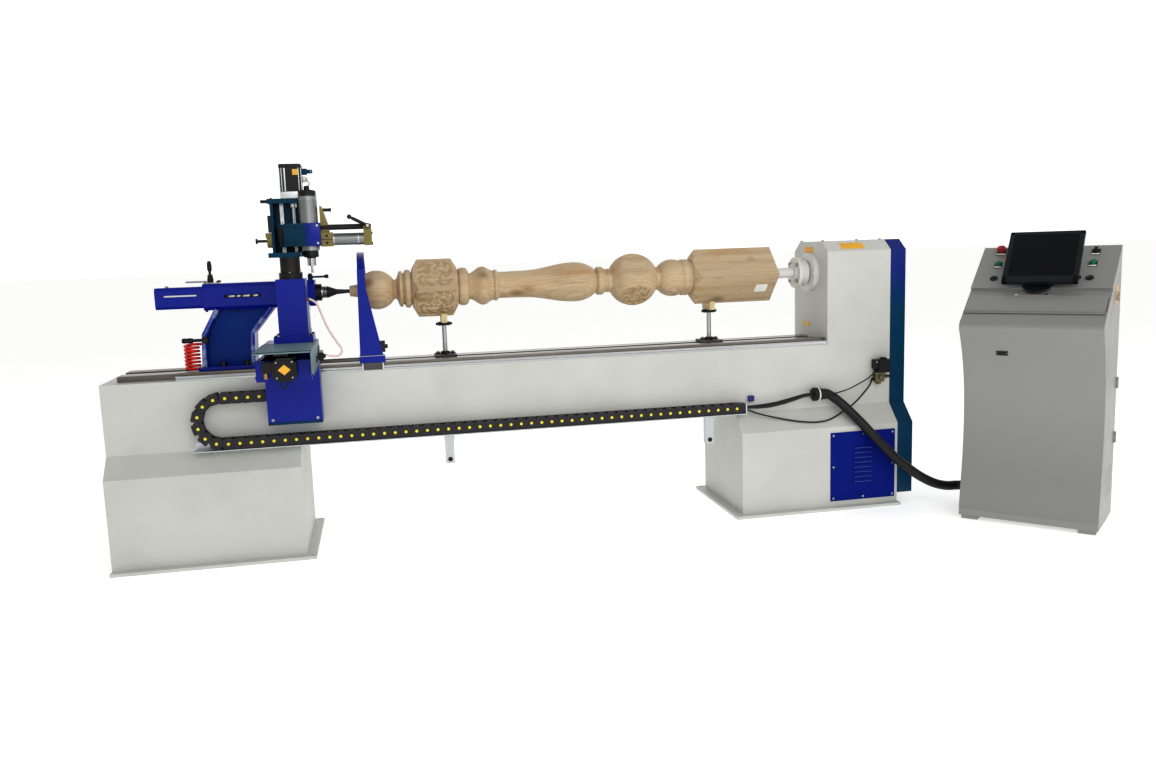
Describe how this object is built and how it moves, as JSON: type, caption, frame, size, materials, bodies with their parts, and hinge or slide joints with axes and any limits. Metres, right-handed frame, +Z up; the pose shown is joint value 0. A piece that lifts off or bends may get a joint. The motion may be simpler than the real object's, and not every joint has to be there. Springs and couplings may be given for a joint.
{
  "type": "wood copy lathe",
  "caption": "Long-bed automatic wood copy lathe with turned post between centres, milling head on a cross slide, ring steady, tailstock, energy chain and separate control console.",
  "frame": {"origin": "on the floor under the middle of the bed and the turning axis, at the centre of the floor anchor holes", "axes": "+X along the bed from the tailstock to the headstock, +Y from the operator's side to the back, +Z up"},
  "size_m": [4.4278, 1.3849, 1.707],
  "materials": {
    "body_paint": "pale grey satin paint",
    "blue_paint": "royal blue gloss paint",
    "teal_paint": "dark teal-blue gloss paint",
    "console_paint": "warm mid grey satin powder coat",
    "olive_paint": "olive hammered paint",
    "grey_plate": "light grey painted sheet",
    "ground_steel": "ground slideway steel, oiled",
    "turned_steel": "turned bright steel",
    "cast_grey": "machined cast iron",
    "white_metal": "white satin paint",
    "aluminium": "extruded aluminium",
    "black_metal": "black satin paint",
    "black_plastic": "black moulded plastic",
    "screen_black": "black monitor housing",
    "red_plastic": "red plastic",
    "green_plastic": "green plastic",
    "rubber": "black rubber",
    "wood": "turned pale hardwood"
  },
  "bodies": {
    "machine_base": {"bed_beam": "body_paint", "left_pedestal": "body_paint", "right_pedestal": "body_paint", "bed_rails": "ground_steel", "headstock_cabinet": "body_paint", "spindle_bearings": "cast_grey", "bearing_cover": "white_metal", "end_belt_cover": "blue_paint", "louvre_panel": "blue_paint", "main_motor": "black_metal", "drive_belt": "rubber", "chain_tray": "aluminium", "gland_and_valve": "black_plastic", "chain_lower_run": "black_plastic", "console_hose": "rubber", "machine_leads": "rubber", "console_cabinet": "console_paint", "control_modules": "grey_plate", "monitor_stand": "black_plastic", "support_feet": "cast_grey"},
    "spindle": {"main_spindle": "white_metal", "drive_center": "white_metal", "workpiece": "wood"},
    "motor_rotor": {"motor_pulley": "black_metal"},
    "tailstock": {"tailstock_body": "blue_paint", "air_coil": "red_plastic"},
    "quill": {"quill": "turned_steel"},
    "live_center": {"live_center": "turned_steel"},
    "quill_lock_lever": {"quill_lock_lever": "teal_paint"},
    "barrel_lever": {"barrel_lever": "black_metal"},
    "clamp_handle": {"clamp_handle": "black_metal"},
    "carriage": {"saddle": "blue_paint", "apron": "blue_paint", "steady_frame": "blue_paint", "feed_motors": "black_metal", "chain_upper_run": "black_plastic"},
    "chain_bend_lower": {"chain_bend_lower": "black_plastic"},
    "chain_bend_upper": {"chain_bend_upper": "black_plastic"},
    "rack_pinion": {"rack_pinion": "turned_steel"},
    "cross_screw": {"cross_screw": "turned_steel"},
    "cross_slide": {"column": "blue_paint", "slide_hood": "grey_plate", "z_frame": "teal_paint", "z_motor": "black_metal", "spindle_air_hose": "rubber"},
    "z_screw": {"z_screw": "turned_steel"},
    "head_slide": {"spindle_clamp": "teal_paint", "milling_spindle": "turned_steel", "side_spindle": "olive_paint"},
    "cutter": {"cutter": "turned_steel"},
    "side_lever": {"side_lever": "black_metal"},
    "support_post_left": {"support_post_left": "turned_steel"},
    "support_post_right": {"support_post_right": "turned_steel"},
    "monitor_screen": {"monitor_screen": "screen_black"},
    "estop_button": {"estop_button": "red_plastic"},
    "start_button": {"start_button": "green_plastic"},
    "run_button": {"run_button": "green_plastic"},
    "selector_switch": {"selector_switch": "black_plastic"},
    "keyboard_lid": {"keyboard_lid": "console_paint"},
    "console_door": {"console_door": "console_paint"}
  },
  "joints": [
    {"name": "main_spindle_spin", "type": "hinge", "parent": "machine_base", "child": "spindle", "pos_m": [1.4, 0, 1.147], "axis": [1, 0, 0], "continuous": true},
    {"name": "motor_spin", "type": "hinge", "parent": "machine_base", "child": "motor_rotor", "pos_m": [1.85, 0, 0.24], "axis": [1, 0, 0], "continuous": true},
    {"name": "tailstock_slide", "type": "slide", "parent": "machine_base", "child": "tailstock", "axis": [1, 0, 0], "range_m": [-0.2, 0]},
    {"name": "quill_slide", "type": "slide", "parent": "tailstock", "child": "quill", "axis": [1, 0, 0], "range_m": [-0.1, 0]},
    {"name": "live_center_spin", "type": "hinge", "parent": "quill", "child": "live_center", "pos_m": [-0.884, 0, 1.147], "axis": [1, 0, 0], "continuous": true},
    {"name": "quill_lock_turn", "type": "hinge", "parent": "tailstock", "child": "quill_lock_lever", "pos_m": [-0.936, 0, 1.206], "axis": [0, 0, 1], "range_deg": [-40, 40]},
    {"name": "barrel_lever_turn", "type": "hinge", "parent": "tailstock", "child": "barrel_lever", "pos_m": [-1.364, 0, 1.206], "axis": [0, 0, 1], "range_deg": [-30, 30]},
    {"name": "clamp_handle_turn", "type": "hinge", "parent": "tailstock", "child": "clamp_handle", "pos_m": [-1.396, -0.0703, 0.962], "axis": [0, 1, 0], "range_deg": [-60, 60]},
    {"name": "carriage_slide", "type": "slide", "parent": "machine_base", "child": "carriage", "axis": [1, 0, 0], "range_m": [-0.05, 2], "deforming": ["chain_lower_run", "chain_upper_run"]},
    {"name": "chain_roll_lower", "type": "slide", "parent": "machine_base", "child": "chain_bend_lower", "axis": [1, 0, 0], "range_m": [-0.026, 1.001]},
    {"name": "chain_roll_upper", "type": "slide", "parent": "carriage", "child": "chain_bend_upper", "axis": [1, 0, 0], "range_m": [-1.001, 0.026]},
    {"name": "feed_pinion_turn", "type": "hinge", "parent": "carriage", "child": "rack_pinion", "pos_m": [-1.064, -0.149, 0.8703], "axis": [0, 1, 0], "range_deg": [-76.9, 3017.08]},
    {"name": "cross_slide_feed", "type": "slide", "parent": "carriage", "child": "cross_slide", "axis": [0, 1, 0], "range_m": [-0.1, 0.1]},
    {"name": "cross_screw_turn", "type": "hinge", "parent": "carriage", "child": "cross_screw", "pos_m": [-1.008, -0.4, 0.884], "axis": [0, 1, 0], "range_deg": [-3618, 3618]},
    {"name": "head_feed", "type": "slide", "parent": "cross_slide", "child": "head_slide", "axis": [0, 0, 1], "range_m": [-0.02, 0.07]},
    {"name": "z_screw_turn", "type": "hinge", "parent": "cross_slide", "child": "z_screw", "pos_m": [-0.98, -0.102, 1.45], "axis": [0, 0, 1], "range_deg": [-1454.4, 5054.4]},
    {"name": "cutter_spin", "type": "hinge", "parent": "head_slide", "child": "cutter", "pos_m": [-0.912, -0.19, 1.29], "axis": [0, 0, 1], "continuous": true},
    {"name": "side_lever_turn", "type": "hinge", "parent": "head_slide", "child": "side_lever", "pos_m": [-0.667, -0.2253, 1.434], "axis": [0, 1, 0], "range_deg": [-25, 40]},
    {"name": "left_post_slide", "type": "slide", "parent": "machine_base", "child": "support_post_left", "axis": [0, 0, 1], "range_m": [-0.06, 0]},
    {"name": "right_post_slide", "type": "slide", "parent": "machine_base", "child": "support_post_right", "axis": [0, 0, 1], "range_m": [-0.06, 0]},
    {"name": "monitor_tilt", "type": "hinge", "parent": "machine_base", "child": "monitor_screen", "pos_m": [2.3, -0.67705, 1.16894], "axis": [0.6756, -0.7373, 0], "range_deg": [-15, 3]},
    {"name": "estop_press", "type": "slide", "parent": "machine_base", "child": "estop_button", "axis": [-0.4334, -0.3971, 0.809], "range_m": [-0.005, 0], "stiffness_N_per_m": 800, "springref_m": 0.002},
    {"name": "start_press", "type": "slide", "parent": "machine_base", "child": "start_button", "axis": [-0.4334, -0.3971, 0.809], "range_m": [-0.003, 0], "stiffness_N_per_m": 500, "springref_m": 0.002},
    {"name": "run_press", "type": "slide", "parent": "machine_base", "child": "run_button", "axis": [-0.4334, -0.3971, 0.809], "range_m": [-0.003, 0], "stiffness_N_per_m": 500, "springref_m": 0.002},
    {"name": "selector_turn", "type": "hinge", "parent": "machine_base", "child": "selector_switch", "pos_m": [2.51531, -0.73339, 1.21347], "axis": [-0.4334, -0.3971, 0.809], "range_deg": [-45, 45]},
    {"name": "keyboard_lid_lift", "type": "hinge", "parent": "machine_base", "child": "keyboard_lid", "pos_m": [2.14148, -0.81688, 0.96186], "axis": [0.6756, -0.7373, 0], "range_deg": [0, 80]},
    {"name": "console_door_swing", "type": "hinge", "parent": "machine_base", "child": "console_door", "pos_m": [2.60126, -0.7961, 0.5], "axis": [0, 0, 1], "range_deg": [0, 100]}
  ],
  "couplings": [
    {"joint": "motor_spin", "follows": "main_spindle_spin", "ratio": 2},
    {"joint": "live_center_spin", "follows": "main_spindle_spin", "ratio": 1},
    {"joint": "chain_roll_lower", "follows": "carriage_slide", "ratio": 0.5},
    {"joint": "chain_roll_upper", "follows": "carriage_slide", "ratio": -0.5},
    {"joint": "feed_pinion_turn", "follows": "carriage_slide", "rad_per_m": 26.316},
    {"joint": "cross_screw_turn", "follows": "cross_slide_feed", "rad_per_m": 628.32},
    {"joint": "z_screw_turn", "follows": "head_feed", "rad_per_m": 1256.6}
  ]
}
